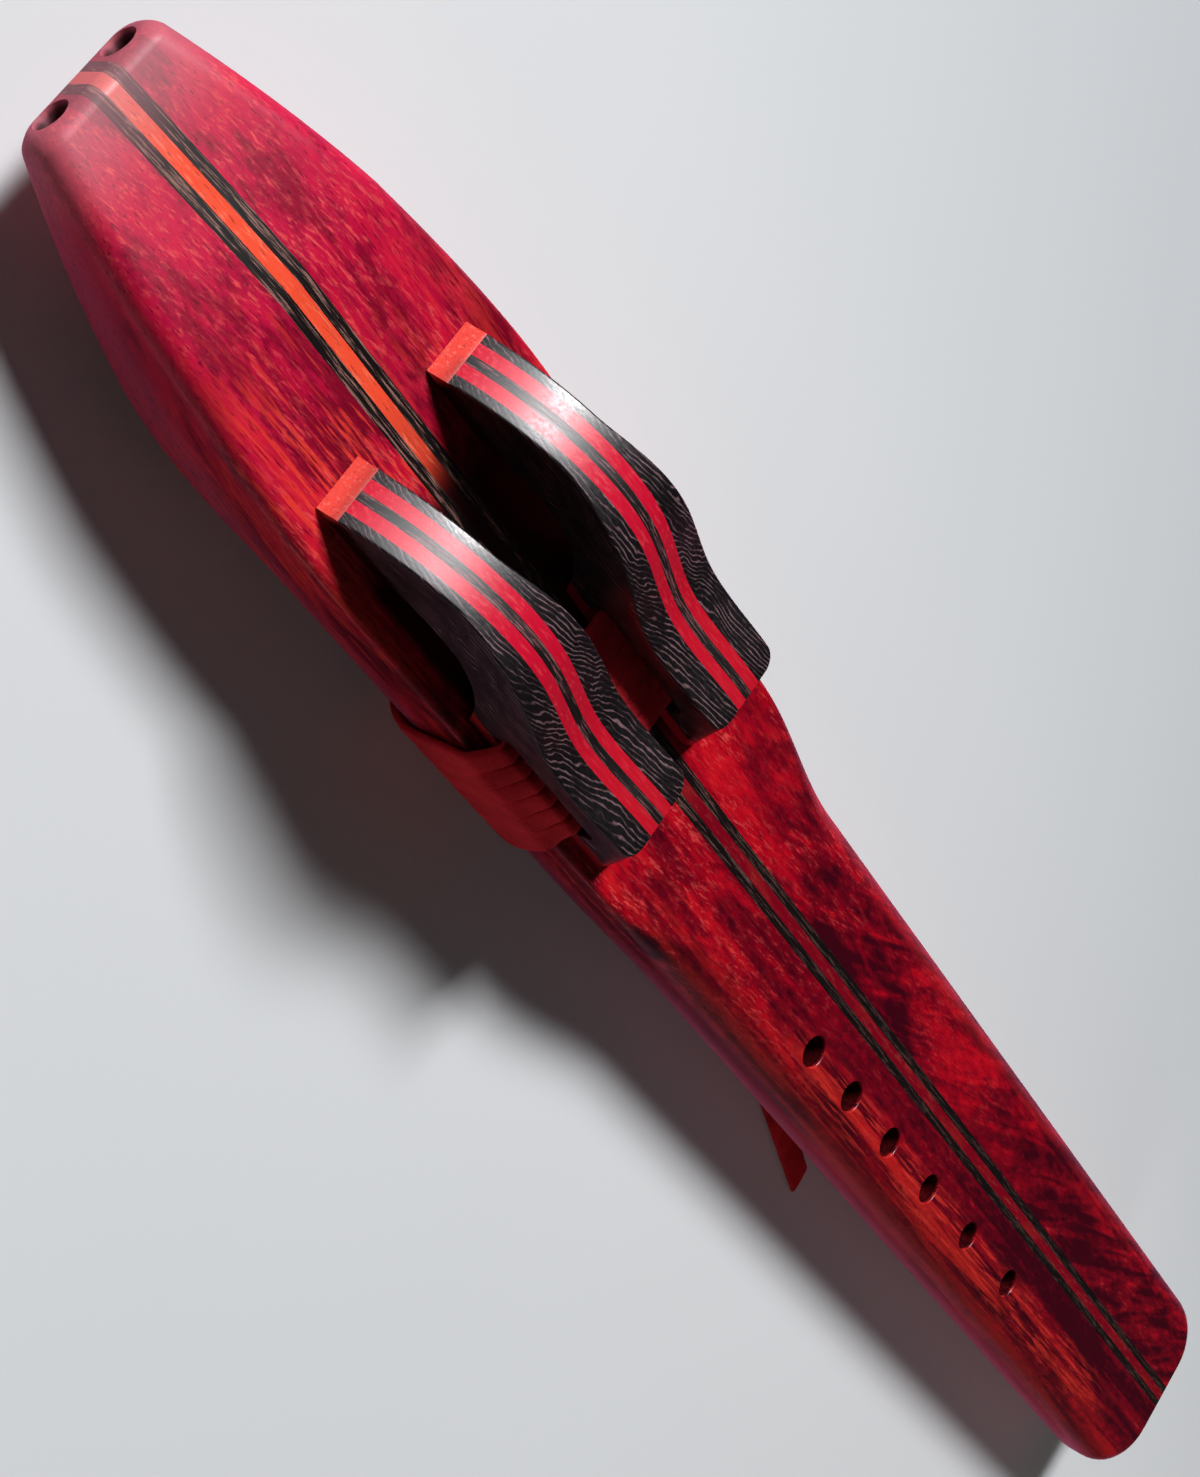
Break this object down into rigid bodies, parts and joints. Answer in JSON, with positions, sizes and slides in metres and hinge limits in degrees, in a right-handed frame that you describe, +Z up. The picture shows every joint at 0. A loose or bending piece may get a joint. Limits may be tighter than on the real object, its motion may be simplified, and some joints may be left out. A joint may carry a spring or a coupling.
{
  "type": "double flute",
  "caption": "Wooden double flute: melody and drone tubes side by side, laminated blocks over the sound holes, tied on with a suede lace.",
  "frame": {"origin": "middle of the flute's length and width, on the surface it lies on", "axes": "+X from the mouth to the foot, +Y to the drone tube, +Z up out of the top face"},
  "size_m": [0.44, 0.0538, 0.0463],
  "materials": {
    "red_wood": "satin oiled, figured crimson-dyed hardwood",
    "centre_red": "satin orange-red hardwood",
    "dark_wood": "satin dark open-grained hardwood with fine brown lines",
    "block_red": "satin scarlet hardwood",
    "pad_red": "satin light red hardwood",
    "suede": "matt dark red suede"
  },
  "bodies": {
    "flute_body": {"melody_tube_upper": "red_wood", "melody_tube_lower": "red_wood", "melody_dark_strip": "dark_wood", "drone_tube_upper": "red_wood", "drone_tube_lower": "red_wood", "drone_dark_strip": "dark_wood", "centre_strip": "centre_red", "lace_winding": "suede", "lace_knot": "suede", "lace_end": "suede"},
    "melody_block": {"melody_front_pad": "pad_red", "melody_rear_pad": "pad_red", "melody_left_dark_laminate": "dark_wood", "melody_left_red_laminate": "block_red", "melody_middle_laminate": "dark_wood", "melody_right_red_laminate": "block_red", "melody_right_dark_laminate": "dark_wood"},
    "drone_block": {"drone_front_pad": "pad_red", "drone_rear_pad": "pad_red", "drone_left_dark_laminate": "dark_wood", "drone_left_red_laminate": "block_red", "drone_middle_laminate": "dark_wood", "drone_right_red_laminate": "block_red", "drone_right_dark_laminate": "dark_wood"}
  },
  "joints": [
    {"name": "melody_block_slide", "type": "slide", "parent": "flute_body", "child": "melody_block", "axis": [1, 0, 0], "range_m": [-0.0015, 0.0015]},
    {"name": "drone_block_slide", "type": "slide", "parent": "flute_body", "child": "drone_block", "axis": [1, 0, 0], "range_m": [-0.0015, 0.0015]}
  ]
}
